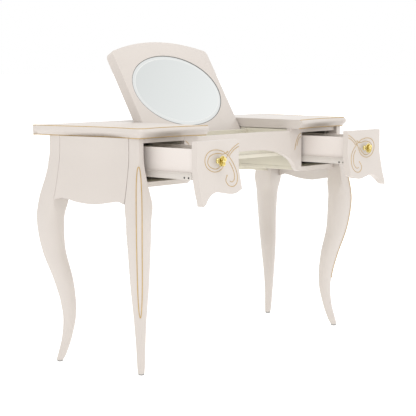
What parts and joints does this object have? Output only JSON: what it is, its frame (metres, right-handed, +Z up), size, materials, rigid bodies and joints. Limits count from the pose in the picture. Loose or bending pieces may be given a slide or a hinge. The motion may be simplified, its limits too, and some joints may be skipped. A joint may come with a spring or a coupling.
{
  "type": "dressing table",
  "caption": "Cream dressing table on curved legs, with a hinged lid that carries an oval mirror over a centre well, and a drawer with a gilt knob at each side.",
  "frame": {"origin": "under the middle of the whole object's box, on the floor, with the lid open and the drawers pulled out", "axes": "+X to the sitter's right seen from the front, along the table's length; +Y to the back; +Z up"},
  "size_m": [1.1858, 0.6649, 1.026],
  "materials": {
    "cream_lacquer": "satin cream lacquer with a fine gold line",
    "inside_lacquer": "matt beige-grey lacquer",
    "silvered_glass": "bevelled silvered mirror",
    "gilt_metal": "cast gilt metal",
    "white_steel": "white epoxy",
    "nylon": "white nylon",
    "pin_steel": "plated steel",
    "buffer_rubber": "soft clear buffer",
    "glide_pad": "grey plastic glide"
  },
  "bodies": {
    "carcass": {"leg_front_left": "cream_lacquer", "leg_front_right": "cream_lacquer", "leg_back_left": "cream_lacquer", "leg_back_right": "cream_lacquer", "glide_front_left": "glide_pad", "glide_front_right": "glide_pad", "glide_back_left": "glide_pad", "glide_back_right": "glide_pad", "top_left": "cream_lacquer", "top_right": "cream_lacquer", "upper_rail_left": "cream_lacquer", "upper_rail_right": "cream_lacquer", "lower_rail_left": "cream_lacquer", "lower_rail_right": "cream_lacquer", "end_panel_left": "cream_lacquer", "end_panel_right": "cream_lacquer", "partition_left": "inside_lacquer", "partition_right": "inside_lacquer", "guide_board_left": "inside_lacquer", "guide_board_right": "inside_lacquer", "well_side_left": "inside_lacquer", "well_side_right": "inside_lacquer", "lid_pin_left": "pin_steel", "lid_pin_right": "pin_steel", "lid_buffer_left": "buffer_rubber", "lid_buffer_right": "buffer_rubber", "runner_fixed_outer_left": "white_steel", "runner_fixed_outer_right": "white_steel", "runner_fixed_inner_left": "white_steel", "runner_fixed_inner_right": "white_steel", "top_rear": "cream_lacquer", "apron_centre": "cream_lacquer", "back_panel": "inside_lacquer", "well_floor": "inside_lacquer", "well_back": "inside_lacquer", "bay_bottom_left": "inside_lacquer", "bay_bottom_right": "inside_lacquer"},
    "lid": {"lid_panel": "cream_lacquer", "mirror_glass": "silvered_glass"},
    "drawer_left": {"drawer_front_left": "cream_lacquer", "drawer_side_inner_left": "cream_lacquer", "drawer_side_outer_left": "cream_lacquer", "drawer_back_left": "inside_lacquer", "drawer_bottom_left": "inside_lacquer", "drawer_knob_left": "gilt_metal", "runner_slide_outer_left": "white_steel", "runner_slide_inner_left": "white_steel"},
    "drawer_right": {"drawer_front_right": "cream_lacquer", "drawer_side_inner_right": "cream_lacquer", "drawer_side_outer_right": "cream_lacquer", "drawer_back_right": "inside_lacquer", "drawer_bottom_right": "inside_lacquer", "drawer_knob_right": "gilt_metal", "runner_slide_outer_right": "white_steel", "runner_slide_inner_right": "white_steel"},
    "roller_outer_left": {"runner_roller_outer_left": "nylon"},
    "roller_inner_left": {"runner_roller_inner_left": "nylon"},
    "roller_outer_right": {"runner_roller_outer_right": "nylon"},
    "roller_inner_right": {"runner_roller_inner_right": "nylon"}
  },
  "joints": [
    {"name": "lid_hinge", "type": "hinge", "parent": "carcass", "child": "lid", "pos_m": [0, 0.14543, 0.737], "axis": [1, 0, 0], "range_deg": [0, 120.8]},
    {"name": "drawer_slide_left", "type": "slide", "parent": "carcass", "child": "drawer_left", "axis": [0, -1, 0], "range_m": [-0.185, 0.01]},
    {"name": "drawer_slide_right", "type": "slide", "parent": "carcass", "child": "drawer_right", "axis": [0, -1, 0], "range_m": [-0.185, 0.01]},
    {"name": "roller_outer_left_spin", "type": "hinge", "parent": "carcass", "child": "roller_outer_left", "pos_m": [-0.48295, -0.08382, 0.6209], "axis": [1, 0, 0], "range_deg": [-1120, 65]},
    {"name": "roller_inner_left_spin", "type": "hinge", "parent": "carcass", "child": "roller_inner_left", "pos_m": [-0.31225, -0.08382, 0.6209], "axis": [1, 0, 0], "range_deg": [-1120, 65]},
    {"name": "roller_outer_right_spin", "type": "hinge", "parent": "carcass", "child": "roller_outer_right", "pos_m": [0.48295, -0.08382, 0.6209], "axis": [1, 0, 0], "range_deg": [-1120, 65]},
    {"name": "roller_inner_right_spin", "type": "hinge", "parent": "carcass", "child": "roller_inner_right", "pos_m": [0.31225, -0.08382, 0.6209], "axis": [1, 0, 0], "range_deg": [-1120, 65]}
  ],
  "couplings": [
    {"joint": "roller_outer_left_spin", "follows": "drawer_slide_left", "rad_per_m": 105.26},
    {"joint": "roller_inner_left_spin", "follows": "drawer_slide_left", "rad_per_m": 105.26},
    {"joint": "roller_outer_right_spin", "follows": "drawer_slide_right", "rad_per_m": 105.26},
    {"joint": "roller_inner_right_spin", "follows": "drawer_slide_right", "rad_per_m": 105.26}
  ]
}
